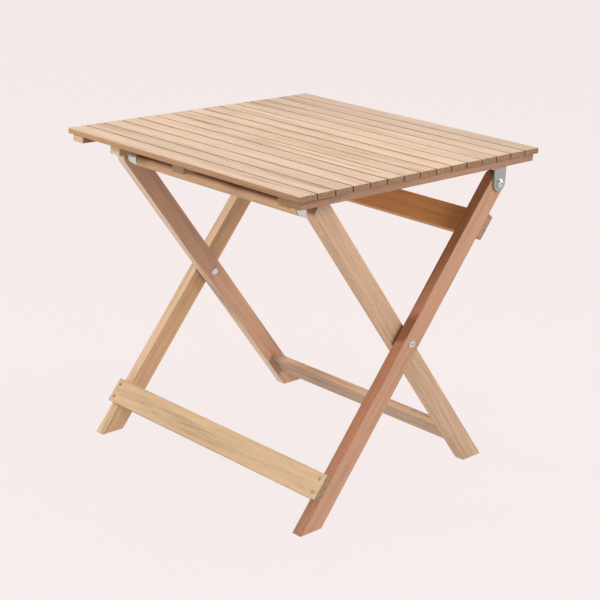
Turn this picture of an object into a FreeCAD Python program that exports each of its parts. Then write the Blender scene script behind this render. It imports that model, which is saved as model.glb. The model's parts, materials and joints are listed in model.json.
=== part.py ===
"""A square folding table of oiled wood: a slatted top hinged on an X-shaped pair of leg frames.

Row frame: +X runs along the slats, +Y from the front edge to the back edge, +Z up.
The origin is on the floor, under the middle of the top. The dowel side is the front (-Y).

Two leg frames cross at a pivot. The outer frame leans back and carries the hinges of the top.
The inner frame leans forward, and its dowel seats in two cleats under the top.
Each leg frame is drawn in a frame of its own: origin on the pivot axis, z along the legs, y across them.
"""
import FreeCAD, Part
import math
import os

import Sketcher

DRIVING_SIZES = [
    # the top
    ("top_length", 700, "slat length, along X"),
    ("top_depth", 700, "front edge to back edge, along Y"),
    ("table_height", 705, "floor to the slats' upper face"),
    ("slat_count", 15, "slats side by side"),
    ("slat_gap", 2.5, "open joint between two slats"),
    ("slat_thick", 12, "slat thickness"),
    ("batten_width", 34, "batten across the slats"),
    ("batten_thick", 16, "batten thickness"),
    ("batten_inset", 6, "slat ends to the outer battens' outer face"),
    ("batten_setback", 8, "front and back edges of the top to the batten ends"),
    ("cleat_width", 31, "cleat over the dowel, along X"),
    ("cleat_height", 35, "cleat below the slats"),
    ("cleat_length", 140, "cleat along Y"),
    ("cleat_setback", 50, "front edge of the top to the cleats"),
    ("cleat_inner", 240, "middle of the table to a cleat's inner face"),
    ("seat_play", 0.4, "gap between the dowel and its seat in a cleat"),
    # the two leg frames
    ("leg_width", 46, "leg across its length, seen from the side"),
    ("leg_thick", 24, "leg along X"),
    ("leg_lean", 38.3, "lean of both leg frames from upright, in degrees"),
    ("hinge_reach", 386, "pivot to the hinge, along an outer leg"),
    ("dowel_reach", 388, "pivot to the dowel, along an inner leg"),
    ("pivot_back", 4.5, "pivot behind the middle of the top"),
    ("pivot_height", 339, "pivot above the floor"),
    ("frame_half", 333, "middle of the table to the outer legs' outer face"),
    ("leg_gap", 8, "gap between an outer leg and the inner leg beside it"),
    # the boards between the legs
    ("board_width", 56, "stretcher and rail boards, along the legs"),
    ("board_thick", 17, "stretcher and rail boards, thickness"),
    ("board_reach", 318.5, "pivot to the upper edge of each stretcher"),
    ("rail_reach", 323, "pivot to the upper edge of the rail"),
    ("board_shift", 1.5, "rear stretcher's middle in front of its legs' middle"),
    # the dowel
    ("dowel_radius", 17, "dowel and ferrules"),
    ("tenon_radius", 12, "dowel's turned-down end, through a ferrule into a leg"),
    ("tenon_depth", 14, "dowel's end in an inner leg"),
    ("ferrule_length", 32, "metal ferrule on the dowel's end"),
    ("ferrule_groove", 1.5, "open groove between ferrule and dowel shoulder"),
    # metal fittings
    ("plate_thick", 3.5, "hinge bracket sheet"),
    ("plate_width", 36, "hinge bracket along Y"),
    ("flange_reach", 28, "hinge bracket's flange along X"),
    ("plate_standoff", 1.2, "outer leg to hinge bracket"),
    ("bolt_radius", 4, "hinge and pivot bolts"),
    ("sleeve_floor", 0.5, "blind end of a sleeve nut's bore"),
    ("sleeve_radius", 5, "sleeve nuts of the hinge and pivot bolts"),
    ("nut_head_radius", 8.5, "flat heads at the pivot and on the sleeve nuts"),
    ("nut_head_thick", 2.2, "flat head thickness"),
    ("washer_thick", 1.6, "washer under a hinge bolt's head"),
    ("button_radius", 8.5, "button head of a hinge bolt"),
    ("button_height", 4.8, "button head height"),
    ("socket_radius", 2.9, "hexagon socket, centre to corner"),
    ("socket_depth", 1.7, "hexagon socket depth"),
    ("collar_radius", 10, "washers and spacers"),
    ("fit_play", 0.05, "radial play of bolts, sleeves, pins and screws in their holes"),
    ("side_play", 0.2, "end play between a turning leg or bracket and its neighbour"),
    # screws and pins
    ("slat_screw_radius", 1.75, "slat and bracket screw shank"),
    ("slat_screw_head", 3.4, "slat and bracket screw head"),
    ("slat_screw_length", 24, "slat screw"),
    ("cleat_screw_length", 42, "cleat screw"),
    ("bracket_screw_length", 16, "bracket screw"),
    ("frame_screw_radius", 2.25, "screw shank in the leg frames"),
    ("frame_screw_head", 4.6, "screw head in the leg frames"),
    ("screw_sink", 0.8, "screw head below a board's face"),
    ("board_screw_length", 39, "screw through a board into a leg's edge"),
    ("screw_spacing", 30, "between a board's two screws or pins at one end"),
    ("pin_radius", 4, "wooden pin in the rear stretcher's ends"),
    ("pin_length", 40, "wooden pin"),
    ("pin_in_leg", 15, "wooden pin's depth in the leg"),
    # softened edges
    ("slat_round", 2.2, "slat's long edges"),
    ("end_round", 0.5, "slat's end edges"),
    ("board_round", 1.2, "edges of battens, boards and cleats"),
    ("dowel_round", 1.2, "dowel's shoulders"),
    ("leg_round", 1.2, "leg edges, but for the sharp foot"),
]

doc = FreeCAD.newDocument("FoldingTable")
sheet = doc.addObject("Spreadsheet::Sheet", "Sizes")
for row, (alias, number, note) in enumerate(DRIVING_SIZES, start=1):
    sheet.set("A%d" % row, str(number))
    sheet.set("B%d" % row, note)
    sheet.setAlias("A%d" % row, alias)
doc.recompute()

# Worked-out places, as expressions of the sheet.
SLAT_WIDTH = "((Sizes.top_depth + Sizes.slat_gap) / Sizes.slat_count - Sizes.slat_gap)"
SLAT_BOTTOM = "(Sizes.table_height - Sizes.slat_thick)"
BATTEN_BOTTOM = "(Sizes.table_height - Sizes.slat_thick - Sizes.batten_thick)"
CLEAT_BOTTOM = "(Sizes.table_height - Sizes.slat_thick - Sizes.cleat_height)"
OUTER_BATTEN_X = "(Sizes.top_length / 2 - Sizes.batten_inset - Sizes.batten_width / 2)"
OUTER_LEG_INNER = "(Sizes.frame_half - Sizes.leg_thick)"
INNER_LEG_INNER = "(Sizes.frame_half - 2 * Sizes.leg_thick - Sizes.leg_gap)"
HINGE_Y = "(Sizes.pivot_back + Sizes.hinge_reach * sin(Sizes.leg_lean * 1 deg))"
DOWEL_Y = "(Sizes.pivot_back - Sizes.dowel_reach * sin(Sizes.leg_lean * 1 deg))"
HINGE_Z = "(Sizes.pivot_height + Sizes.hinge_reach * cos(Sizes.leg_lean * 1 deg))"
DOWEL_Z = "(Sizes.pivot_height + Sizes.dowel_reach * cos(Sizes.leg_lean * 1 deg))"
BOARD_MIDDLE = "(Sizes.board_reach + Sizes.board_width / 2)"
PLATE_INNER = "(Sizes.frame_half + Sizes.plate_standoff)"

# The slats whose middle lines take the screws of the cleats, counted from the front, the first being 0.
CLEAT_SLATS = (1, 3)

nodes = []


def value(expression):
    """The number that an expression of the sheet stands for."""
    result = sheet.evalExpression(str(expression))
    return float(getattr(result, "Value", result))


def slat_middle(index):
    """Y of a slat's middle line, as an expression."""
    return "(-Sizes.top_depth / 2 + %s / 2 + %d * (%s + Sizes.slat_gap))" % (SLAT_WIDTH, index, SLAT_WIDTH)


def new_body(label, node=True):
    body = doc.addObject("PartDesign::Body", label)
    body.Label = label
    if node:
        nodes.append(body)
    return body


def origin_plane(body, role):
    return next(item for item in body.Origin.OriginFeatures if item.Role == role)


def new_sketch(body, plane):
    sketch = body.newObject("Sketcher::SketchObject", body.Name + "_sketch")
    sketch.AttachmentSupport = (origin_plane(body, plane), [""])
    sketch.MapMode = "FlatFace"
    return sketch


def shift_sketch(sketch, distance):
    """Move a sketch along its plane's normal."""
    sketch.AttachmentOffset = FreeCAD.Placement(FreeCAD.Vector(0, 0, value(distance)), FreeCAD.Rotation())
    sketch.setExpression(".AttachmentOffset.Base.z", distance)


def pin_point(sketch, geometry, vertex, place):
    """Hold one point of a sketch at a place given by two expressions."""
    for kind, expression in zip(("DistanceX", "DistanceY"), place):
        constraint = Sketcher.Constraint(kind, -1, 1, geometry, vertex, value(expression))
        index = sketch.addConstraint(constraint)
        sketch.setExpression("Constraints[%d]" % index, str(expression))


def polygon(body, plane, corners):
    """A closed outline with straight sides."""
    sketch = new_sketch(body, plane)
    points = [FreeCAD.Vector(value(x), value(y), 0) for x, y in corners]
    for index, point in enumerate(points):
        sketch.addGeometry(Part.LineSegment(point, points[(index + 1) % len(points)]), False)
    for index, corner in enumerate(corners):
        following = (index + 1) % len(points)
        sketch.addConstraint(Sketcher.Constraint("Coincident", index, 2, following, 1))
        pin_point(sketch, index, 1, corner)
    return sketch


def rectangle(body, plane, low_x, high_x, low_y, high_y):
    return polygon(body, plane, [(low_x, low_y), (high_x, low_y), (high_x, high_y), (low_x, high_y)])


def circles(body, plane, radius, centres):
    sketch = new_sketch(body, plane)
    for index, centre in enumerate(centres):
        middle = FreeCAD.Vector(value(centre[0]), value(centre[1]), 0)
        sketch.addGeometry(Part.Circle(middle, FreeCAD.Vector(0, 0, 1), value(radius)), False)
        pin_point(sketch, index, 3, centre)
        size = sketch.addConstraint(Sketcher.Constraint("Radius", index, value(radius)))
        sketch.setExpression("Constraints[%d]" % size, str(radius))
    return sketch


def round_ended(body, radius, round_at, far_end, upward):
    """A strip in the body's YZ plane: a half-round end about round_at, and two corners at the far end.

    far_end gives the heights of the corners on the -y and +y sides.
    """
    sketch = new_sketch(body, "YZ_Plane")
    across, height, half = value(round_at[0]), value(round_at[1]), value(radius)
    middle = FreeCAD.Vector(across, height, 0)
    circle = Part.Circle(middle, FreeCAD.Vector(0, 0, 1), half)
    span = (0, math.pi) if upward else (math.pi, 2 * math.pi)
    sketch.addGeometry(Part.ArcOfCircle(circle, *span), False)
    start = [FreeCAD.Vector(across - half, height, 0), FreeCAD.Vector(across + half, height, 0)]
    far = [FreeCAD.Vector(across - half, value(far_end[0]), 0),
           FreeCAD.Vector(across + half, value(far_end[1]), 0)]
    for ends in ((start[0], far[0]), (far[0], far[1]), (far[1], start[1])):
        sketch.addGeometry(Part.LineSegment(*ends), False)
    minus_vertex, plus_vertex = (2, 1) if upward else (1, 2)
    sketch.addConstraint([
        Sketcher.Constraint("Coincident", 0, minus_vertex, 1, 1),
        Sketcher.Constraint("Coincident", 1, 2, 2, 1),
        Sketcher.Constraint("Coincident", 2, 2, 3, 1),
        Sketcher.Constraint("Coincident", 3, 2, 0, plus_vertex),
    ])
    pin_point(sketch, 0, 3, round_at)
    size = sketch.addConstraint(Sketcher.Constraint("Radius", 0, half))
    sketch.setExpression("Constraints[%d]" % size, radius)
    for vertex in (minus_vertex, plus_vertex):
        level = sketch.addConstraint(Sketcher.Constraint("DistanceY", -1, 1, 0, vertex, height))
        sketch.setExpression("Constraints[%d]" % level, round_at[1])
    pin_point(sketch, 1, 2, ("%s - %s" % (round_at[0], radius), far_end[0]))
    pin_point(sketch, 3, 1, ("%s + %s" % (round_at[0], radius), far_end[1]))
    return sketch


def pad(body, sketch, length, midplane=False):
    feature = body.newObject("PartDesign::Pad", body.Name + "_pad")
    feature.Profile = sketch
    feature.setExpression("Length", length)
    feature.Midplane = midplane
    sketch.Visibility = False
    doc.recompute()
    return feature


def pocket(body, sketch, length=None, flip=False):
    """Cut a sketch through the body, or to a length on one side of its plane."""
    before = body.Shape.Volume
    feature = body.newObject("PartDesign::Pocket", body.Name + "_pocket")
    feature.Profile = sketch
    if length is None:
        feature.Type = "ThroughAll"
        feature.Midplane = True
    else:
        feature.setExpression("Length", length)
        feature.Reversed = flip
    doc.recompute()
    if body.Shape.Volume >= before - 1e-6:
        raise RuntimeError("pocket cuts nothing in " + body.Label)
    return feature


def edge_names(shape, keep):
    return ["Edge%d" % number for number, edge in enumerate(shape.Edges, start=1)
            if not edge.Degenerated and keep(edge)]


def is_round(edge):
    return isinstance(edge.Curve, Part.Circle)


def fillet(body, radius, keep=lambda edge: True):
    base = body.Tip
    feature = body.newObject("PartDesign::Fillet", body.Name + "_fillet")
    feature.Base = (base, edge_names(base.Shape, keep))
    feature.setExpression("Radius", radius)
    doc.recompute()
    return feature


def countersink(body, head_radius, shank_radius, keep):
    """Chamfer the mouths of screw holes, so that a flat head sits flush."""
    base = body.Tip
    names = edge_names(base.Shape, lambda edge: is_round(edge) and keep(edge))
    feature = body.newObject("PartDesign::Chamfer", body.Name + "_countersink")
    feature.Base = (base, names)
    feature.setExpression("Size", "%s - %s - Sizes.fit_play" % (head_radius, shank_radius))
    doc.recompute()
    return feature


def hole_edge(radius, axis, place):
    """A test for the round edges of a given radius whose centre lies at a place along an axis."""
    wanted = (value(radius), value(place))
    return lambda edge: (abs(edge.Curve.Radius - wanted[0]) < 0.01
                         and abs(edge.Curve.Center[axis] - wanted[1]) < 0.01)


def place_at(body, **expressions):
    """Put a body at a place; what isn't named stays 0."""
    for axis, expression in expressions.items():
        body.setExpression(".Placement.Base." + axis, str(expression))


def place_in_frame(item, lean, x="0"):
    """Put a piece drawn in a leg frame at that frame's place: lean is -1 for outer, +1 for inner."""
    item.Placement = FreeCAD.Placement(FreeCAD.Vector(), FreeCAD.Rotation(FreeCAD.Vector(1, 0, 0), lean))
    place_at(item, x=x, y="Sizes.pivot_back", z="Sizes.pivot_height")
    item.setExpression(".Placement.Rotation.Angle", "%d * Sizes.leg_lean * 1 deg" % lean)


OUTER_FRAME, INNER_FRAME = -1, 1


def frame_placement(lean):
    turn = FreeCAD.Rotation(FreeCAD.Vector(1, 0, 0), lean * value("Sizes.leg_lean"))
    corner = FreeCAD.Vector(0, value("Sizes.pivot_back"), value("Sizes.pivot_height"))
    return FreeCAD.Placement(corner, turn)


def revolved(label, outline):
    """A turned piece: an outline of (radius, height) expressions swept about the z axis."""
    body = new_body(label, node=False)
    sketch = polygon(body, "XZ_Plane", outline)
    feature = body.newObject("PartDesign::Revolution", body.Name + "_turn")
    feature.Profile = sketch
    feature.ReferenceAxis = (sketch, ["V_Axis"])
    feature.Angle = 360
    doc.recompute()
    return body


def group(label, pattern, places, frame=None):
    """Identical fittings as separate solids of one node: the pattern piece at each place.

    A place is a point and the direction in which the piece's z axis points.
    """
    feature = doc.addObject("Part::Feature", label)
    feature.Label = label
    copies = []
    for point, direction in places:
        turn = FreeCAD.Rotation(FreeCAD.Vector(0, 0, 1), FreeCAD.Vector(*direction))
        copy = pattern.Shape.copy()
        copy.Placement = FreeCAD.Placement(FreeCAD.Vector(*point), turn).multiply(copy.Placement)
        copies.append(copy)
    feature.Shape = Part.makeCompound(copies)
    if frame is not None:
        feature.Placement = frame_placement(frame)
    nodes.append(feature)
    return feature


# ---------------------------------------------------------------- the top

def make_slat(index):
    """One slat of the top, drilled from below for the screws of the battens and of a cleat above it."""
    body = new_body("slat_%02d" % (index + 1))
    half_width = SLAT_WIDTH + " / 2"
    outline = rectangle(body, "XY_Plane", "-Sizes.top_length / 2", "Sizes.top_length / 2",
                        "-" + half_width, half_width)
    pad(body, outline, "Sizes.slat_thick")
    fillet(body, "Sizes.slat_round", lambda edge: along(edge, "x"))
    fillet(body, "Sizes.end_round", lambda edge: near(edge, x=value("Sizes.top_length / 2"))
           or near(edge, x=-value("Sizes.top_length / 2")))
    screw_lines = ["-" + OUTER_BATTEN_X, "0", OUTER_BATTEN_X]
    bore = "Sizes.slat_screw_radius + Sizes.fit_play"
    pilots = circles(body, "XY_Plane", bore, [(x, "0") for x in screw_lines])
    pocket(body, pilots, "Sizes.slat_screw_length - Sizes.batten_thick + 0.5", flip=True)
    if index in CLEAT_SLATS:
        middle = "Sizes.cleat_inner + Sizes.cleat_width / 2"
        pilots = circles(body, "XY_Plane", bore, [("-(%s)" % middle, "0"), (middle, "0")])
        pocket(body, pilots, "Sizes.cleat_screw_length - Sizes.cleat_height + 0.5", flip=True)
    place_at(body, y=slat_middle(index), z=SLAT_BOTTOM)


def make_batten(label, middle_x, bracket_side=0):
    """A batten under all the slats, with one countersunk screw hole for each of them.

    bracket_side is -1 or +1 on an outer batten, which also takes the screws of a hinge bracket.
    """
    body = new_body(label)
    half_length = "(Sizes.top_depth / 2 - Sizes.batten_setback)"
    outline = rectangle(body, "XY_Plane", "-Sizes.batten_width / 2", "Sizes.batten_width / 2",
                        "-" + half_length, half_length)
    pad(body, outline, "Sizes.batten_thick")
    fillet(body, "Sizes.board_round")
    bore = "Sizes.slat_screw_radius + Sizes.fit_play"
    count = int(value("Sizes.slat_count"))
    pocket(body, circles(body, "XY_Plane", bore, [("0", slat_middle(i)) for i in range(count)]))
    countersink(body, "Sizes.slat_screw_head", "Sizes.slat_screw_radius", hole_edge(bore, 2, "0"))
    if bracket_side:
        holes = [("%s - %s" % (x, middle_x), y) for x, y in bracket_screw_places(bracket_side)]
        pilots = circles(body, "XY_Plane", bore, holes)
        pocket(body, pilots, "Sizes.bracket_screw_length - Sizes.plate_thick + 0.5", flip=True)
    place_at(body, x=middle_x, z=BATTEN_BOTTOM)


def make_cleat(label, side):
    """A cleat under the slats. The dowel seats in the round notch in its lower face."""
    body = new_body(label)
    front = "(-Sizes.top_depth / 2 + Sizes.cleat_setback)"
    outline = rectangle(body, "YZ_Plane", front, front + " + Sizes.cleat_length",
                        CLEAT_BOTTOM, SLAT_BOTTOM)
    pad(body, outline, "Sizes.cleat_width", midplane=True)
    fillet(body, "Sizes.board_round")
    seat = "Sizes.dowel_radius + Sizes.seat_play"
    pocket(body, circles(body, "YZ_Plane", seat, [(DOWEL_Y, DOWEL_Z)]))
    bore = "Sizes.slat_screw_radius + Sizes.fit_play"
    pocket(body, circles(body, "XY_Plane", bore, [("0", slat_middle(i)) for i in CLEAT_SLATS]))
    countersink(body, "Sizes.slat_screw_head", "Sizes.slat_screw_radius",
                hole_edge(bore, 2, CLEAT_BOTTOM))
    place_at(body, x="%d * (Sizes.cleat_inner + Sizes.cleat_width / 2)" % side)


def bracket_screw_places(side):
    """The two screws of a hinge bracket, clear of the slat screw above its flange."""
    row_y = HINGE_Y + " + Sizes.plate_width / 5"
    flange_middle = "(%s + Sizes.plate_thick - Sizes.flange_reach / 2)" % PLATE_INNER
    return [("%d * (%s - Sizes.flange_reach / 4)" % (side, flange_middle), row_y),
            ("%d * (%s + Sizes.flange_reach / 4)" % (side, flange_middle), row_y)]


def make_bracket(label, side):
    """A bent sheet hinge bracket: a flange under the batten and a round-ended ear beside the leg."""
    body = new_body(label)
    flange_low = BATTEN_BOTTOM + " - Sizes.plate_thick"
    ear_low = HINGE_Z + " - Sizes.plate_width / 2"
    outer = "%d * Sizes.plate_thick / 2" % side
    inner = "-%d * Sizes.plate_thick / 2" % side
    edge = "%d * (Sizes.plate_thick / 2 - Sizes.flange_reach)" % side
    section = polygon(body, "XZ_Plane", [(outer, ear_low), (outer, BATTEN_BOTTOM), (edge, BATTEN_BOTTOM),
                                         (edge, flange_low), (inner, flange_low), (inner, ear_low)])
    shift_sketch(section, "-" + HINGE_Y)
    pad(body, section, "Sizes.plate_width", midplane=True)
    fillet(body, "Sizes.plate_thick * 0.9",
           lambda edge: along(edge, "y") and near(edge, x=value(outer), z=value(BATTEN_BOTTOM)))
    fillet(body, "Sizes.plate_width / 2 - 0.1",
           lambda edge: along(edge, "x") and near(edge, z=value(ear_low)))
    bore = "Sizes.bolt_radius + Sizes.fit_play"
    pocket(body, circles(body, "YZ_Plane", bore, [(HINGE_Y, HINGE_Z)]))
    bore = "Sizes.slat_screw_radius + Sizes.fit_play"
    ear_middle = "%d * (%s + Sizes.plate_thick / 2)" % (side, PLATE_INNER)
    holes = [("%s - %s" % (x, ear_middle), y) for x, y in bracket_screw_places(side)]
    pocket(body, circles(body, "XY_Plane", bore, holes))
    countersink(body, "Sizes.slat_screw_head", "Sizes.slat_screw_radius",
                hole_edge(bore, 2, flange_low))
    place_at(body, x=ear_middle)


def along(edge, axis):
    ends = [vertex.Point for vertex in edge.Vertexes]
    return len(ends) == 2 and abs(getattr((ends[1] - ends[0]).normalize(), axis)) > 0.999


def near(edge, **place):
    middle = edge.CenterOfMass
    return all(abs(getattr(middle, axis) - number) < 0.01 for axis, number in place.items())


# ---------------------------------------------------------------- the leg frames

def foot_corner(lean, across):
    """Where a leg's edge meets the floor, along the leg, for an edge at a distance across it."""
    return "(-(Sizes.pivot_height + %d * (%s) * sin(Sizes.leg_lean * 1 deg)) / cos(Sizes.leg_lean * 1 deg))" % (
        lean, across)


def leg_blank(label, lean, reach):
    """A leg with a round top about the hinge or dowel axis, and its foot cut flat on the floor."""
    body = new_body(label)
    half = "Sizes.leg_width / 2"
    feet = (foot_corner(lean, "-" + half), foot_corner(lean, half))
    outline = round_ended(body, half, ("0", reach), feet, upward=True)
    pad(body, outline, "Sizes.leg_thick", midplane=True)
    fillet(body, "Sizes.leg_round", lambda edge: is_round(edge) or along(edge, "z"))
    return body


def board_rows():
    """Heights of a board's two screws or pins, along the legs, measured from the pivot."""
    return ["%s - Sizes.screw_spacing / 2" % BOARD_MIDDLE, "%s + Sizes.screw_spacing / 2" % BOARD_MIDDLE]


def make_outer_leg(label, side):
    """An outer leg: two sleeve bores, and screw holes in both edges for the stretcher and the rail."""
    body = leg_blank(label, OUTER_FRAME, "Sizes.hinge_reach")
    bore = "Sizes.sleeve_radius + Sizes.fit_play"
    pocket(body, circles(body, "YZ_Plane", bore, [("0", "0"), ("0", "Sizes.hinge_reach")]))
    bore = "Sizes.frame_screw_radius + Sizes.fit_play"
    depth = "Sizes.leg_width / 2"
    front = circles(body, "XZ_Plane", bore, [("0", "-(%s)" % row) for row in board_rows()])
    pocket(body, front, depth, flip=True)
    back = circles(body, "XZ_Plane", bore, [("0", row_from_top) for row_from_top in rail_rows()])
    pocket(body, back, depth)
    place_in_frame(body, OUTER_FRAME, "%d * (Sizes.frame_half - Sizes.leg_thick / 2)" % side)


def stretcher_rows():
    """Heights of the front stretcher's two screws, along the legs, measured from the pivot."""
    return ["-(%s)" % row for row in board_rows()]


def rail_rows():
    """Heights of the upper rail's two screws, along the legs, measured from the pivot."""
    middle = "(Sizes.rail_reach - Sizes.board_width / 2)"
    return ["%s - Sizes.screw_spacing / 2" % middle, "%s + Sizes.screw_spacing / 2" % middle]


def make_inner_leg(label, side):
    """An inner leg: it turns on the pivot sleeve and holds the dowel and the rear stretcher's pins."""
    body = leg_blank(label, INNER_FRAME, "Sizes.dowel_reach")
    pivot_bore = "Sizes.sleeve_radius + Sizes.fit_play"
    pocket(body, circles(body, "YZ_Plane", pivot_bore, [("0", "0")]))
    inner_face = "%d * Sizes.leg_thick / 2" % -side
    tenon = circles(body, "YZ_Plane", "Sizes.tenon_radius + Sizes.fit_play", [("0", "Sizes.dowel_reach")])
    shift_sketch(tenon, inner_face)
    pocket(body, tenon, "Sizes.tenon_depth + 0.5", flip=side > 0)
    pins = circles(body, "YZ_Plane", "Sizes.pin_radius + Sizes.fit_play",
                   [("-Sizes.board_shift", "-(%s)" % row) for row in board_rows()])
    shift_sketch(pins, inner_face)
    pocket(body, pins, "Sizes.pin_in_leg + 0.5", flip=side > 0)
    place_in_frame(body, INNER_FRAME, "%d * (%s + Sizes.leg_thick / 2)" % (side, INNER_LEG_INNER))


def board_blank(label, half_length, low_y, low_z):
    """A board across a leg frame, along X."""
    body = new_body(label)
    outline = rectangle(body, "YZ_Plane", low_y, low_y + " + Sizes.board_thick",
                        low_z, low_z + " + Sizes.board_width")
    pad(body, outline, "2 * %s" % half_length, midplane=True)
    fillet(body, "Sizes.board_round")
    return body


def make_screwed_board(label, side, low_z, rows):
    """A board screwed to the edges of both outer legs, two sunk screws at each end.

    side is -1 for the legs' front edges and +1 for their back edges.
    """
    edge = "Sizes.leg_width / 2"
    low_y = edge if side > 0 else "-(%s + Sizes.board_thick)" % edge
    body = board_blank(label, "Sizes.frame_half", low_y, low_z)
    leg_middle = "(Sizes.frame_half - Sizes.leg_thick / 2)"
    bore = "Sizes.frame_screw_radius + Sizes.fit_play"
    places = [(x, row) for x in ("-" + leg_middle, leg_middle) for row in rows]
    pocket(body, circles(body, "XZ_Plane", bore, places))
    mouths = circles(body, "XZ_Plane", "Sizes.frame_screw_head + Sizes.fit_play", places)
    shift_sketch(mouths, "%d * (%s + Sizes.board_thick)" % (-side, edge))
    pocket(body, mouths, "Sizes.screw_sink", flip=side > 0)
    seat = "%d * (%s + Sizes.board_thick - Sizes.screw_sink)" % (side, edge)
    countersink(body, "Sizes.frame_screw_head", "Sizes.frame_screw_radius", hole_edge(bore, 1, seat))
    place_in_frame(body, OUTER_FRAME)


def make_rear_stretcher():
    """The board between the inner legs, held by hidden wooden pins in its ends."""
    low_y = "-(Sizes.board_shift + Sizes.board_thick / 2)"
    low_z = "-(Sizes.board_reach + Sizes.board_width)"
    body = board_blank("rear_stretcher", INNER_LEG_INNER, low_y, low_z)
    for side in (-1, 1):
        holes = circles(body, "YZ_Plane", "Sizes.pin_radius + Sizes.fit_play",
                        [("-Sizes.board_shift", "-(%s)" % row) for row in board_rows()])
        shift_sketch(holes, "%d * %s" % (side, INNER_LEG_INNER))
        pocket(body, holes, "Sizes.pin_length - Sizes.pin_in_leg + 0.5", flip=side < 0)
    place_in_frame(body, INNER_FRAME)


def make_dowel():
    """The round bar between the inner legs. Its tenons pass through the ferrules into both legs."""
    body = new_body("lock_dowel")
    centre = [("0", "Sizes.dowel_reach")]
    bar = circles(body, "YZ_Plane", "Sizes.dowel_radius", centre)
    pad(body, bar, "2 * (%s - Sizes.ferrule_length - Sizes.ferrule_groove)" % INNER_LEG_INNER, midplane=True)
    fillet(body, "Sizes.dowel_round", is_round)
    tenon = circles(body, "YZ_Plane", "Sizes.tenon_radius", centre)
    pad(body, tenon, "2 * (%s + Sizes.tenon_depth)" % INNER_LEG_INNER, midplane=True)
    place_in_frame(body, INNER_FRAME)


def make_ferrule(label, side):
    """The metal ferrule on one end of the dowel, which bears on a cleat's seat."""
    body = new_body(label)
    centre = [("0", "Sizes.dowel_reach")]
    pad(body, circles(body, "YZ_Plane", "Sizes.dowel_radius", centre), "Sizes.ferrule_length", midplane=True)
    fillet(body, "0.5", is_round)
    pocket(body, circles(body, "YZ_Plane", "Sizes.tenon_radius + Sizes.fit_play", centre))
    place_in_frame(body, INNER_FRAME, "%d * (%s - Sizes.ferrule_length / 2)" % (side, INNER_LEG_INNER))


# ---------------------------------------------------------------- patterns for the fittings

def screw_pattern(label, radius, head, length):
    """A countersunk screw: flat head at z 0, point at z = length."""
    tip = "(1.5 * %s)" % radius
    neck = "(%s - %s)" % (head, radius)
    body = revolved(label, [("0", "0"), (head, "0"), (radius, neck),
                            (radius, "%s - %s" % (length, tip)), ("0", length)])
    slot, reach = "%s * 0.45" % radius, "%s * 1.2" % radius
    plus = [(slot, reach), ("-" + slot, reach), ("-" + slot, slot), ("-" + reach, slot),
            ("-" + reach, "-" + slot), ("-" + slot, "-" + slot), ("-" + slot, "-" + reach),
            (slot, "-" + reach), (slot, "-" + slot), (reach, "-" + slot), (reach, slot), (slot, slot)]
    pocket(body, polygon(body, "XY_Plane", plus), "%s * 0.7" % radius, flip=True)
    return body


def bolt_pattern(label, head_outline, length):
    """A bolt with a hexagon socket: head below z 0, shank up to z = length."""
    body = revolved(label, head_outline + [("Sizes.bolt_radius", "0"), ("Sizes.bolt_radius", length),
                                           ("0", length)])
    corners = [("Sizes.socket_radius * cos(%d deg)" % turn, "Sizes.socket_radius * sin(%d deg)" % turn)
               for turn in range(0, 360, 60)]
    socket = polygon(body, "XY_Plane", corners)
    shift_sketch(socket, head_outline[0][1])
    pocket(body, socket, "Sizes.socket_depth", flip=True)
    return body


def sleeve_pattern(label, length):
    """A sleeve nut: a flat head below z 0 and a tube up to z = length, open at that end."""
    head, thick = "Sizes.nut_head_radius", "Sizes.nut_head_thick"
    inner = "(Sizes.bolt_radius + Sizes.fit_play)"
    return revolved(label, [("0", "-" + thick), (head + " - 1", "-" + thick), (head, "-%s / 2" % thick),
                            (head, "0"), ("Sizes.sleeve_radius", "0"), ("Sizes.sleeve_radius", length),
                            (inner, length), (inner, "Sizes.sleeve_floor"), ("0", "Sizes.sleeve_floor")])


def ring_pattern(label, length, inner):
    return revolved(label, [(inner, "0"), ("Sizes.collar_radius", "0"),
                            ("Sizes.collar_radius", length), (inner, length)])


def both_sides(x, y, z, inward):
    """A place on each side of the table, with the z axis of the piece pointing in or out."""
    turn = -1 if inward else 1
    return [((side * value(x), value(y), value(z)), (side * turn, 0, 0)) for side in (-1, 1)]


def make_top():
    for index in range(int(value("Sizes.slat_count"))):
        make_slat(index)
    make_batten("batten_left", "-" + OUTER_BATTEN_X, bracket_side=-1)
    make_batten("batten_middle", "0")
    make_batten("batten_right", OUTER_BATTEN_X, bracket_side=1)
    make_cleat("cleat_left", -1)
    make_cleat("cleat_right", 1)
    make_bracket("hinge_bracket_left", -1)
    make_bracket("hinge_bracket_right", 1)
    up = (0, 0, 1)
    radius, head = "Sizes.slat_screw_radius", "Sizes.slat_screw_head"
    slat_screw = screw_pattern("slat_screw", radius, head, "Sizes.slat_screw_length")
    lines = [value("-" + OUTER_BATTEN_X), 0, value(OUTER_BATTEN_X)]
    rows = [value(slat_middle(index)) for index in range(int(value("Sizes.slat_count")))]
    group("slat_screws", slat_screw, [((x, y, value(BATTEN_BOTTOM)), up) for x in lines for y in rows])
    cleat_screw = screw_pattern("cleat_screw", radius, head, "Sizes.cleat_screw_length")
    middle = value("Sizes.cleat_inner + Sizes.cleat_width / 2")
    group("cleat_screws", cleat_screw,
          [((x, rows[index], value(CLEAT_BOTTOM)), up) for x in (-middle, middle) for index in CLEAT_SLATS])
    bracket_screw = screw_pattern("bracket_screw", radius, head, "Sizes.bracket_screw_length")
    flange_low = value(BATTEN_BOTTOM + " - Sizes.plate_thick")
    group("bracket_screws", bracket_screw,
          [((value(x), value(y), flange_low), up) for side in (-1, 1) for x, y in bracket_screw_places(side)])


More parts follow.
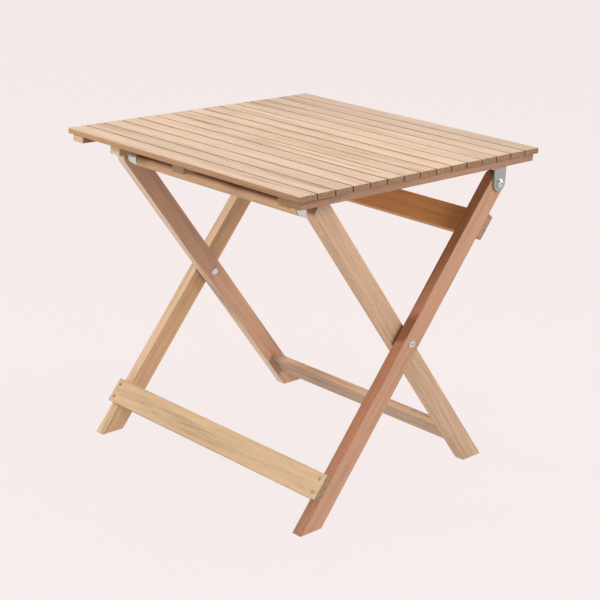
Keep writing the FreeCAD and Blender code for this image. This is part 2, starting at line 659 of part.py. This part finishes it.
def make_board_screws():
    """The screws through the front stretcher and the upper rail into the outer legs' edges."""
    screw = screw_pattern("frame_screw", "Sizes.frame_screw_radius", "Sizes.frame_screw_head",
                          "Sizes.board_screw_length")
    leg_middle = value("Sizes.frame_half - Sizes.leg_thick / 2")
    seat = value("Sizes.leg_width / 2 + Sizes.board_thick - Sizes.screw_sink")
    for label, side, rows in (("front_stretcher_screws", -1, stretcher_rows()),
                              ("upper_rail_screws", 1, rail_rows())):
        places = [((x, side * seat, value(row)), (0, -side, 0)) for x in (-leg_middle, leg_middle) for row in rows]
        group(label, screw, places, OUTER_FRAME)


def make_hinge_fittings():
    """Bolt, washer, shim and sleeve nut on which each hinge bracket turns."""
    height = "Sizes.button_height"
    head = [("0", "-" + height), ("Sizes.button_radius * 0.55", "-" + height),
            ("Sizes.button_radius * 0.9", "-%s * 0.6" % height),
            ("Sizes.button_radius", "-%s * 0.2" % height), ("Sizes.button_radius", "0")]
    washer_x = PLATE_INNER + " + Sizes.plate_thick + Sizes.side_play"
    head_x = washer_x + " + Sizes.washer_thick"
    bolt = bolt_pattern("hinge_bolt", head, "%s - %s - Sizes.sleeve_floor - 2" % (head_x, OUTER_LEG_INNER))
    bore = "Sizes.bolt_radius + Sizes.fit_play"
    washer = ring_pattern("hinge_washer", "Sizes.washer_thick", bore)
    shim = ring_pattern("hinge_shim", "Sizes.plate_standoff - Sizes.side_play", bore)
    sleeve = sleeve_pattern("hinge_sleeve", "Sizes.leg_thick * 0.9")
    for label, pattern, x, inward in (("hinge_bolts", bolt, head_x, True),
                                      ("hinge_washers", washer, washer_x, False),
                                      ("hinge_shims", shim, "Sizes.frame_half", False),
                                      ("hinge_sleeve_nuts", sleeve, OUTER_LEG_INNER, False)):
        group(label, pattern, both_sides(x, "0", "Sizes.hinge_reach", inward), OUTER_FRAME)


def make_pivot_fittings():
    """Bolt, sleeve nut and spacer on which each inner leg turns."""
    head = [("0", "-Sizes.nut_head_thick"), ("Sizes.nut_head_radius - 1", "-Sizes.nut_head_thick"),
            ("Sizes.nut_head_radius", "-Sizes.nut_head_thick / 2"), ("Sizes.nut_head_radius", "0")]
    bolt = bolt_pattern("pivot_bolt", head, "2 * Sizes.leg_thick")
    sleeve = sleeve_pattern("pivot_sleeve", "2 * Sizes.leg_thick + Sizes.leg_gap + Sizes.side_play - 2")
    spacer = ring_pattern("pivot_spacer", "Sizes.leg_gap - Sizes.side_play",
                          "Sizes.sleeve_radius + Sizes.fit_play")
    sleeve_x = INNER_LEG_INNER + " - Sizes.side_play"
    for label, pattern, x, inward in (("pivot_bolts", bolt, "Sizes.frame_half", True),
                                      ("pivot_sleeve_nuts", sleeve, sleeve_x, False),
                                      ("pivot_spacers", spacer, OUTER_LEG_INNER, True)):
        group(label, pattern, both_sides(x, "0", "0", inward), OUTER_FRAME)


def make_outer_frame():
    make_outer_leg("outer_leg_left", -1)
    make_outer_leg("outer_leg_right", 1)
    make_screwed_board("front_stretcher", -1, "-(Sizes.board_reach + Sizes.board_width)", stretcher_rows())
    make_screwed_board("upper_rail", 1, "Sizes.rail_reach - Sizes.board_width", rail_rows())
    make_board_screws()
    make_hinge_fittings()
    make_pivot_fittings()


def make_inner_frame():
    make_inner_leg("inner_leg_left", -1)
    make_inner_leg("inner_leg_right", 1)
    make_rear_stretcher()
    make_dowel()
    make_ferrule("ferrule_left", -1)
    make_ferrule("ferrule_right", 1)
    bevel = "0.8"
    radius = "Sizes.pin_radius"
    pin = revolved("stretcher_pin", [("0", "0"), (radius + " - " + bevel, "0"), (radius, bevel),
                                     (radius, "Sizes.pin_length - " + bevel),
                                     (radius + " - " + bevel, "Sizes.pin_length"), ("0", "Sizes.pin_length")])
    places = []
    for row in board_rows():
        places += both_sides(INNER_LEG_INNER + " + Sizes.pin_in_leg", "-Sizes.board_shift", "-(%s)" % row, True)
    group("stretcher_pins", pin, places, INNER_FRAME)


make_top()
make_outer_frame()
make_inner_frame()
doc.recompute()

for item in doc.Objects:
    if "Invalid" in item.State or "Error" in item.State:
        raise RuntimeError("%s is not built: %s" % (item.Label, item.State))
for node in nodes:
    if node.Shape.isNull() or not node.Shape.isValid():
        raise RuntimeError(node.Label + " has no valid shape")

os.makedirs("parts", exist_ok=True)
for node in nodes:
    node.Shape.exportStep("parts/%s.step" % node.Label)
    print(node.Label, len(node.Shape.Solids), "solid(s)", round(node.Shape.Volume / 1000, 2), "cm3")
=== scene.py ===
"""A square folding table of oiled wood, dressed over its CAD frame, in a plain pale studio."""

import json
import math
import random

import bpy
from mathutils import Matrix, Vector

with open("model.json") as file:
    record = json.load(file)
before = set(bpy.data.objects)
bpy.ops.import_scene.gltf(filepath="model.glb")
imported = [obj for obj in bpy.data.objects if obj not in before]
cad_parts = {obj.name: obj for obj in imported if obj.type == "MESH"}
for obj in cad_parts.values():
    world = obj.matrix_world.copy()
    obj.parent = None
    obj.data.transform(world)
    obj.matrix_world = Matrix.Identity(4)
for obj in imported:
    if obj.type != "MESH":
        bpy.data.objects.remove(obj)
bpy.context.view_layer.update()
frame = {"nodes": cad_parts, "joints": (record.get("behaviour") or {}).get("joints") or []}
scene = bpy.context.scene
nodes = frame["nodes"]


# ---------------------------------------------------------------- node helpers

class Graph:
    """A material's node tree, with short calls for the nodes that this scene uses."""

    def __init__(self, name):
        self.material = bpy.data.materials.new(name)
        self.material.use_nodes = True
        self.tree = self.material.node_tree
        self.tree.nodes.clear()
        self.shader = self.tree.nodes.new("ShaderNodeBsdfPrincipled")
        output = self.tree.nodes.new("ShaderNodeOutputMaterial")
        self.link(self.shader.outputs[0], output.inputs[0])

    def link(self, source, target):
        self.tree.links.new(source, target)

    def feed(self, socket, source):
        """Give a socket either a constant or another node's output."""
        if isinstance(source, bpy.types.NodeSocket):
            self.link(source, socket)
        else:
            socket.default_value = source

    def coordinates(self):
        """The surface's own coordinates: "Object" for the place and "Normal" for the way it looks."""
        return self.tree.nodes.new("ShaderNodeTexCoord").outputs

    def turned(self, vector, turn, shift=(0.0, 0.0, 0.0)):
        """A vector in axes turned by three angles, and then moved."""
        node = self.tree.nodes.new("ShaderNodeMapping")
        node.inputs["Rotation"].default_value = turn
        node.inputs["Location"].default_value = shift
        self.link(vector, node.inputs["Vector"])
        return node.outputs[0]

    def stretched(self, vector, factors):
        node = self.tree.nodes.new("ShaderNodeVectorMath")
        node.operation = "MULTIPLY"
        self.feed(node.inputs[0], vector)
        self.feed(node.inputs[1], factors)
        return node.outputs[0]

    def split(self, vector):
        node = self.tree.nodes.new("ShaderNodeSeparateXYZ")
        self.link(vector, node.inputs[0])
        return node.outputs

    def join(self, x, y, z):
        node = self.tree.nodes.new("ShaderNodeCombineXYZ")
        for socket, source in zip(node.inputs, (x, y, z)):
            self.feed(socket, source)
        return node.outputs[0]

    def math(self, operation, first, second=0.0, third=0.0):
        node = self.tree.nodes.new("ShaderNodeMath")
        node.operation = operation
        for socket, source in zip(node.inputs, (first, second, third)):
            self.feed(socket, source)
        return node.outputs[0]

    def noise(self, vector, scale, detail, roughness=0.55):
        node = self.tree.nodes.new("ShaderNodeTexNoise")
        self.feed(node.inputs["Vector"], vector)
        node.inputs["Scale"].default_value = scale
        node.inputs["Detail"].default_value = detail
        node.inputs["Roughness"].default_value = roughness
        return node.outputs["Fac"]

    def streaks(self, fibre, draw, scale, detail, roughness=0.55):
        """Noise drawn out along the fibres: the smaller draw is, the longer the streaks."""
        return self.noise(self.stretched(fibre, (draw, 1.0, 1.0)), scale, detail, roughness)

    def spread(self, value, low, high):
        """A value's way from low to high, as 0 to 1 with soft ends."""
        node = self.tree.nodes.new("ShaderNodeMapRange")
        node.interpolation_type = "SMOOTHSTEP"
        self.feed(node.inputs["Value"], value)
        node.inputs["From Min"].default_value = low
        node.inputs["From Max"].default_value = high
        return node.outputs["Result"]

    def mix(self, factor, first, second):
        node = self.tree.nodes.new("ShaderNodeMix")
        node.data_type = "RGBA"
        self.feed(node.inputs["Factor"], factor)
        colours = [socket for socket in node.inputs if socket.type == "RGBA"]
        self.feed(colours[0], first)
        self.feed(colours[1], second)
        return next(socket for socket in node.outputs if socket.type == "RGBA")

    def ramp(self, factor, stops):
        node = self.tree.nodes.new("ShaderNodeValToRGB")
        elements = node.color_ramp.elements
        while len(elements) < len(stops):
            elements.new(0.5)
        for element, (place, colour) in zip(elements, stops):
            element.position = place
            element.color = colour
        self.feed(node.inputs[0], factor)
        return node.outputs[0]

    def bump(self, height, distance, strength):
        node = self.tree.nodes.new("ShaderNodeBump")
        node.inputs["Strength"].default_value = strength
        node.inputs["Distance"].default_value = distance
        self.feed(node.inputs["Height"], height)
        self.link(node.outputs[0], self.shader.inputs["Normal"])


def shade(colour, factor):
    """A colour made lighter or darker, as the four numbers of a colour socket."""
    return tuple(min(1.0, part * factor) for part in colour[:3]) + (1.0,)


# ---------------------------------------------------------------- wood

def leg_lean():
    """How far the legs lean from upright: the outer legs run from the pivot up to the top's hinges."""
    places = {joint["name"]: Vector(joint["pos_m"]) for joint in frame["joints"]}
    leg = places["top_lift"] - places["frame_fold"]
    return math.atan2(leg.y, leg.z)


# The turns that lay a piece's fibres along the X of its material.
LEAN = leg_lean()
GRAIN_X = (0.0, 0.0, 0.0)
GRAIN_Y = (0.0, 0.0, -math.pi / 2)
GRAIN_OUTER_LEG = (LEAN, math.pi / 2, 0.0)
GRAIN_INNER_LEG = (-LEAN, math.pi / 2, 0.0)
GRAIN_OUTER_BOARD = (LEAN, 0.0, 0.0)
GRAIN_INNER_BOARD = (-LEAN, 0.0, 0.0)

# Sides that can have a tone of their own, used here for painted light and shade: the axis and the way that
# they look, then how squarely a face has to look there for the tone to begin, and to be full.
FRONT = (1, -1.0, 0.45, 0.80)
BACK = (1, 1.0, 0.45, 0.80)
TOP = (2, 1.0, 0.0, 0.60)

# Each piece's place in the log is picked within this distance, the fibres wander over this width, and the
# surface's relief is this deep, all in metres.
LOG_REACH = 9.0
WANDER = 0.03
RELIEF_DEPTH = 0.00022

# End grain where a piece has no tone of its own for it.
END_BROWN = (0.34, 0.22, 0.13)


def figured(graph, figure, tone, contrast):
    """The figure of the wood about one tone: darker and redder streaks, and lighter ones."""
    dark = shade((tone[0], tone[1] * 0.86, tone[2] * 0.70), 1.0 - 0.34 * contrast)
    light = shade(tone, 1.0 + 0.20 * contrast)
    return graph.ramp(figure, [(0.36, dark), (0.49, shade(tone, 1.0)), (0.64, light)])


def wandering(graph, point):
    """Places along fibres that drift slowly to one side and back."""
    drift = graph.noise(graph.stretched(point, (1.0, 2.5, 2.5)), 2.2, 2.0)
    wander = graph.math("MULTIPLY_ADD", drift, WANDER, -WANDER / 2)
    along, across, up = graph.split(point)
    return graph.join(along, graph.math("ADD", across, wander), up)


def growth_rings(graph, fibre, origin, pick):
    """Growth rings about a heart that runs nearly along the piece, which has its own origin in the log."""
    tilt_y = pick.uniform(-0.05, 0.05)
    tilt_z = pick.uniform(-0.03, 0.03)
    heart_y = pick.uniform(0.03, 0.09)
    heart_z = pick.uniform(0.02, 0.06)
    phase_per_metre = pick.uniform(900.0, 1300.0)
    along, across, up = graph.split(fibre)
    from_heart_y = graph.math("SUBTRACT", graph.math("MULTIPLY_ADD", along, tilt_y, across),
                              origin.y + heart_y + origin.x * tilt_y)
    from_heart_z = graph.math("SUBTRACT", graph.math("MULTIPLY_ADD", along, tilt_z, up),
                              origin.z + heart_z + origin.x * tilt_z)
    radius = graph.math("SQRT", graph.math("ADD", graph.math("MULTIPLY", from_heart_y, from_heart_y),
                                           graph.math("MULTIPLY", from_heart_z, from_heart_z)))
    ripple = graph.math("MULTIPLY", graph.streaks(fibre, 0.15, 38.0, 2.0), 11.0)
    phase = graph.math("MULTIPLY_ADD", radius, phase_per_metre, ripple)
    return graph.math("MULTIPLY_ADD", graph.math("SINE", phase), 0.5, 0.5)


def wood(name, tone, turn, seed, contrast=1.0, end_tone=END_BROWN, side_tones=()):
    """Oiled hardwood cut from its own place in the log: growth rings, fibre streaks, pores and end grain.

    side_tones gives the sides that differ from the rest, each with its tone: painted light or painted shade,
    on some sides over the wood's own tone.
    """
    pick = random.Random(seed)
    graph = Graph(name)
    surface = graph.coordinates()
    origin = Vector([pick.uniform(-LOG_REACH, LOG_REACH) for _ in range(3)])
    fibre = wandering(graph, graph.turned(surface["Object"], turn, origin))
    rings = growth_rings(graph, fibre, origin, pick)
    facing = graph.split(graph.turned(surface["Normal"], turn))

    broad = graph.streaks(fibre, 0.06, 26.0, 2.0)
    medium = graph.streaks(fibre, 0.035, 105.0, 3.0)
    fine = graph.streaks(fibre, 0.03, 420.0, 3.0, 0.65)
    figure = 0.0
    for layer, share in ((broad, 0.32), (medium, 0.38), (fine, 0.30), (rings, 0.05)):
        figure = graph.math("MULTIPLY_ADD", layer, share, figure)

    colour = figured(graph, figure, tone, contrast)
    # Painted light and shade on single sides: each side's tone is mixed in where a face looks that way.
    for (axis, way, begins, full), side_tone in side_tones:
        side = graph.spread(graph.math("MULTIPLY", facing[axis], way), begins, full)
        colour = graph.mix(side, colour, figured(graph, figure, side_tone, contrast))

    # Open pores: short dark dashes along the fibres.
    pores = graph.spread(graph.streaks(fibre, 0.09, 1250.0, 1.0), 0.60, 0.72)
    pore_colour = shade((tone[0] * 0.55, tone[1] * 0.42, tone[2] * 0.32), 1.0)
    colour = graph.mix(graph.math("MULTIPLY", pores, 0.30 * contrast), colour, pore_colour)

    # End grain soaks up more oil.
    end = graph.spread(graph.math("ABSOLUTE", facing[0]), 0.55, 0.9)
    speckle = graph.noise(graph.stretched(fibre, (1.0, 1.0, 1.8)), 260.0, 4.0, 0.7)
    end_colour = graph.ramp(speckle, [(0.40, shade(end_tone, 0.62)), (0.60, shade(end_tone, 1.28))])
    graph.link(graph.mix(end, colour, end_colour), graph.shader.inputs["Base Color"])

    roughness = graph.math("MULTIPLY_ADD", medium, 0.22, 0.40)
    roughness = graph.math("MULTIPLY_ADD", pores, 0.15, roughness)
    graph.link(roughness, graph.shader.inputs["Roughness"])
    graph.shader.inputs["Specular IOR Level"].default_value = 0.32

    # Fine fibres stand proud and pores sink in.
    relief = graph.math("MULTIPLY_ADD", pores, -0.8, graph.math("MULTIPLY", fine, 0.7))
    graph.bump(relief, RELIEF_DEPTH, 0.6)
    return graph.material


# ---------------------------------------------------------------- metal

def metal(name, colour, roughness, mottle, mottle_scale=160.0, dent=0.0, dull=0.0):
    """Plated or galvanised steel, slightly uneven.

    mottle is how strongly the colour clouds, dent how deep the surface waves in metres, and dull the share of
    it that a grey bloom covers.
    """
    graph = Graph(name)
    surface = graph.coordinates()["Object"]
    cloud = graph.noise(surface, mottle_scale, 3.0)
    clouded = graph.mix(graph.math("MULTIPLY", cloud, mottle), shade(colour, 1.0), shade(colour, 0.6))
    graph.link(clouded, graph.shader.inputs["Base Color"])
    graph.link(graph.math("MULTIPLY_ADD", cloud, 0.12, roughness - 0.06), graph.shader.inputs["Roughness"])
    graph.shader.inputs["Metallic"].default_value = 1.0 - dull
    if dent:
        graph.bump(graph.noise(surface, mottle_scale * 2.5, 2.0), dent, 0.5)
    return graph.material


# ---------------------------------------------------------------- what each piece is made of

# Tones of whole pieces.
HONEY = (0.545, 0.402, 0.298)
PINK_BROWN = (0.32, 0.178, 0.110)
TAN = (0.56, 0.37, 0.215)
YELLOW_TAN = (0.605, 0.415, 0.245)
SAND = (0.60, 0.395, 0.262)
AMBER = (0.60, 0.362, 0.20)
FAWN = (0.50, 0.325, 0.212)
ROSE_BROWN = (0.55, 0.31, 0.20)
RED_BROWN = (0.465, 0.252, 0.160)
ORANGE_BROWN = (0.71, 0.325, 0.122)
APRICOT = (0.69, 0.42, 0.24)

# Tones of single sides, which carry painted light and shade: the slats' long edges, the legs' front faces
# and the dowel's upper side, where it lies in deep shade under the slats.
# Painted shade: the slats' long edges that look into the gaps between slats.
GAP_SHADE_BROWN = (0.15, 0.062, 0.025)
# The outer long edges of the first and last slat: the wood's edge tone, darkened with painted shade.
SHADED_EDGE_BROWN = (0.44, 0.25, 0.132)
# The legs' front faces: the next three are the wood's own tone made lighter with painted light where front
# light falls.
LIT_PALE = (0.64, 0.45, 0.29)
LIT_CREAM = (0.86, 0.66, 0.50)
LIT_STRAW = (0.76, 0.50, 0.32)
# The right outer leg's front face: the wood's own tone darkened with painted shade from the top above it.
SHADED_RUSSET = (0.36, 0.145, 0.065)
# Painted shade: the dowel's upper side, darkened for the deep shade under the slats.
PAINTED_SHADE_BROWN = (0.185, 0.060, 0.022)

# Tones of end grain.
UMBER = (0.28, 0.157, 0.088)
COCOA = (0.34, 0.20, 0.12)
CHESTNUT = (0.34, 0.19, 0.115)
BUFF = (0.74, 0.49, 0.33)
WHEAT = (0.85, 0.60, 0.38)
COPPER = (0.54, 0.28, 0.125)

# How strong the figure is on the slats, and on the legs, boards and dowel.
SLAT_CONTRAST = 1.1
LEG_CONTRAST = 1.25

# How light each slat is, from the front one to the back one.
SLAT_LIGHTNESS = (0.99, 0.90, 0.97, 0.97, 0.96, 1.06, 0.96, 1.08, 0.96, 1.03, 0.95, 0.97, 0.88, 0.85, 0.84)


def paint(node, material):
    for slot in nodes[node].material_slots:
        slot.material = material


def paint_slats():
    """The slats differ a little in lightness, and carry painted shade on the edges that look into a gap."""
    last = len(SLAT_LIGHTNESS) - 1
    for index, lightness in enumerate(SLAT_LIGHTNESS):
        node = "slat_%02d" % (index + 1)
        # Painted shade on the slats' long edges: full where an edge looks into a gap, and over the wood's
        # edge tone on the outer edges of the first and last slat.
        front_edge_shade = SHADED_EDGE_BROWN if index == 0 else GAP_SHADE_BROWN
        back_edge_shade = SHADED_EDGE_BROWN if index == last else GAP_SHADE_BROWN
        paint(node, wood("wood_" + node, shade(HONEY, lightness), GRAIN_X, 100 + index, SLAT_CONTRAST,
                         end_tone=UMBER, side_tones=[(FRONT, front_edge_shade), (BACK, back_edge_shade)]))


def paint_underside():
    """Battens and cleats, with end grain that differs from piece to piece."""
    for node, tone, end_tone, seed in (
            ("batten_left", PINK_BROWN, BUFF, 200),
            ("batten_middle", PINK_BROWN, COCOA, 201),
            ("batten_right", PINK_BROWN, CHESTNUT, 202),
            ("cleat_left", TAN, WHEAT, 210),
            ("cleat_right", TAN, COPPER, 211)):
        paint(node, wood("wood_" + node, tone, GRAIN_Y, seed, end_tone=end_tone))


def paint_leg_frames():
    """Legs, boards, dowel and pins, with a stronger figure than the top's."""
    # The legs' front faces carry painted light, or on the right outer leg painted shade, over the wood's own
    # tone.
    for node, tone, turn, seed, side_tones in (
            ("outer_leg_left", AMBER, GRAIN_OUTER_LEG, 300, [(FRONT, LIT_PALE)]),
            ("outer_leg_right", RED_BROWN, GRAIN_OUTER_LEG, 301, [(FRONT, SHADED_RUSSET)]),
            ("inner_leg_left", ROSE_BROWN, GRAIN_INNER_LEG, 302, [(FRONT, LIT_CREAM)]),
            ("inner_leg_right", FAWN, GRAIN_INNER_LEG, 303, [(FRONT, LIT_STRAW)]),
            ("front_stretcher", YELLOW_TAN, GRAIN_OUTER_BOARD, 310, []),
            ("upper_rail", ORANGE_BROWN, GRAIN_OUTER_BOARD, 311, []),
            ("rear_stretcher", SAND, GRAIN_INNER_BOARD, 312, []),
            # The dowel's upper side carries painted shade.
            ("lock_dowel", APRICOT, GRAIN_X, 320, [(TOP, PAINTED_SHADE_BROWN)]),
            ("stretcher_pins", TAN, GRAIN_X, 321, [])):
        paint(node, wood("wood_" + node, tone, turn, seed, LEG_CONTRAST, side_tones=side_tones))


def paint_metal():
    """Galvanised brackets, bright fittings and duller screws."""
    galvanised = metal("galvanised_steel", (0.37, 0.395, 0.365), roughness=0.50, mottle=0.30,
                       mottle_scale=140.0, dent=0.00015, dull=0.45)
    bright = metal("bright_steel", (0.70, 0.70, 0.68), roughness=0.24, mottle=0.20)
    zinc = metal("zinc_screws", (0.30, 0.255, 0.18), roughness=0.50, mottle=0.25, dull=0.25)
    for node in ("hinge_bracket_left", "hinge_bracket_right"):
        paint(node, galvanised)
    for node in ("hinge_bolts", "hinge_washers", "hinge_shims", "hinge_sleeve_nuts", "pivot_bolts",
                 "pivot_sleeve_nuts", "pivot_spacers", "ferrule_left", "ferrule_right"):
        paint(node, bright)
    for node in ("slat_screws", "cleat_screws", "bracket_screws", "front_stretcher_screws",
                 "upper_rail_screws"):
        paint(node, zinc)


# ---------------------------------------------------------------- studio

FLOOR_COLOUR = (0.913, 0.831, 0.823, 1.0)
FLOOR_HALF_WIDTH = 40.0
# The floor lies this far under the feet, so that the two surfaces don't coincide.
FLOOR_DROP = 0.0005
FLOOR_GLOW = 0.975
# The share of its colour with which the floor also takes light and shadow.
FLOOR_LIT_SHARE = 0.03

SURROUND_COLOUR = (0.98, 0.95, 0.92, 1.0)
# The surroundings' brightness at a direction's height, where -1 is straight down and 1 straight up.
LOW_HEIGHT, LOW_BRIGHTNESS = -0.5, 0.52
HIGH_HEIGHT, HIGH_BRIGHTNESS = 0.2, 0.36

# The camera's place in metres, and its turn from +Y towards -X, its tilt down and its roll in radians.
CAMERA_PLACE = (2.2234, -2.2059, 1.3969)
CAMERA_YAW = 0.78706
CAMERA_TILT = 0.32410
CAMERA_ROLL = 0.04228
CAMERA_LENS_MM = 90.99
CAMERA_SENSOR_MM = 36.0


def make_floor():
    """A wide pale floor that glows a little, so that it stays even right across the picture."""
    half = FLOOR_HALF_WIDTH
    mesh = bpy.data.meshes.new("studio_floor")
    corners = [(-half, -half, 0.0), (half, -half, 0.0), (half, half, 0.0), (-half, half, 0.0)]
    mesh.from_pydata(corners, [], [(0, 1, 2, 3)])
    floor = bpy.data.objects.new("studio_floor", mesh)
    scene.collection.objects.link(floor)
    floor.location.z = -FLOOR_DROP
    floor.visible_diffuse = False
    graph = Graph("studio_floor")
    graph.shader.inputs["Base Color"].default_value = shade(FLOOR_COLOUR, FLOOR_LIT_SHARE)
    graph.shader.inputs["Roughness"].default_value = 0.9
    graph.shader.inputs["Specular IOR Level"].default_value = 0.0
    graph.shader.inputs["Emission Color"].default_value = FLOOR_COLOUR
    graph.shader.inputs["Emission Strength"].default_value = FLOOR_GLOW
    mesh.materials.append(graph.material)


def make_light(name, place, aim_height, size, power, colour):
    """A round soft light that looks at a point above the middle of the table's footprint."""
    data = bpy.data.lights.new(name, "AREA")
    data.shape = "DISK"
    data.size = size
    data.energy = power
    data.color = colour
    light = bpy.data.objects.new(name, data)
    scene.collection.objects.link(light)
    light.location = place
    look = Vector((0.0, 0.0, aim_height)) - Vector(place)
    light.rotation_euler = look.to_track_quat("-Z", "Y").to_euler()


def make_camera():
    """The camera stands to the right of the front and looks slightly down at the table."""
    data = bpy.data.cameras.new("camera")
    data.sensor_width = CAMERA_SENSOR_MM
    data.sensor_fit = "HORIZONTAL"
    data.lens = CAMERA_LENS_MM
    data.clip_start = 0.05
    data.clip_end = 200.0
    camera = bpy.data.objects.new("camera", data)
    scene.collection.objects.link(camera)
    level = Vector((math.cos(CAMERA_YAW), math.sin(CAMERA_YAW), 0.0))
    ahead = Vector((-math.sin(CAMERA_YAW), math.cos(CAMERA_YAW), 0.0))
    forward = math.cos(CAMERA_TILT) * ahead - math.sin(CAMERA_TILT) * Vector((0.0, 0.0, 1.0))
    up = level.cross(forward)
    right = math.cos(CAMERA_ROLL) * level + math.sin(CAMERA_ROLL) * up
    top = math.cos(CAMERA_ROLL) * up - math.sin(CAMERA_ROLL) * level
    turn = Matrix((right, top, -forward)).transposed()
    camera.matrix_world = Matrix.Translation(CAMERA_PLACE) @ turn.to_4x4()
    scene.camera = camera


def make_world():
    """Soft light from all round, and a little more of it from the pale floor below."""
    world = bpy.data.worlds.new("studio")
    world.use_nodes = True
    tree = world.node_tree
    background = tree.nodes["Background"]
    background.inputs["Color"].default_value = SURROUND_COLOUR
    direction = tree.nodes.new("ShaderNodeTexCoord")
    split = tree.nodes.new("ShaderNodeSeparateXYZ")
    tree.links.new(direction.outputs["Generated"], split.inputs[0])
    brightness = tree.nodes.new("ShaderNodeMapRange")
    brightness.inputs["From Min"].default_value = LOW_HEIGHT
    brightness.inputs["From Max"].default_value = HIGH_HEIGHT
    brightness.inputs["To Min"].default_value = LOW_BRIGHTNESS
    brightness.inputs["To Max"].default_value = HIGH_BRIGHTNESS
    tree.links.new(split.outputs[2], brightness.inputs["Value"])
    tree.links.new(brightness.outputs["Result"], background.inputs["Strength"])
    scene.world = world


paint_slats()
paint_underside()
paint_leg_frames()
paint_metal()

make_world()
scene.view_settings.view_transform = "Standard"
make_floor()
make_light("key", (2.6, 1.7, 2.2), aim_height=0.5, size=1.2, power=62.0, colour=(1.0, 0.97, 0.94))
make_light("overhead", (0.0, 0.3, 3.2), aim_height=0.5, size=2.2, power=54.0, colour=(1.0, 1.0, 1.0))
make_light("front_fill", (-2.2, -2.9, 2.0), aim_height=0.35, size=1.2, power=90.0, colour=(1.0, 0.95, 0.88))
make_light("right_fill", (3.3, -1.3, 1.3), aim_height=0.2, size=1.2, power=42.0, colour=(1.0, 0.96, 0.92))
make_camera()
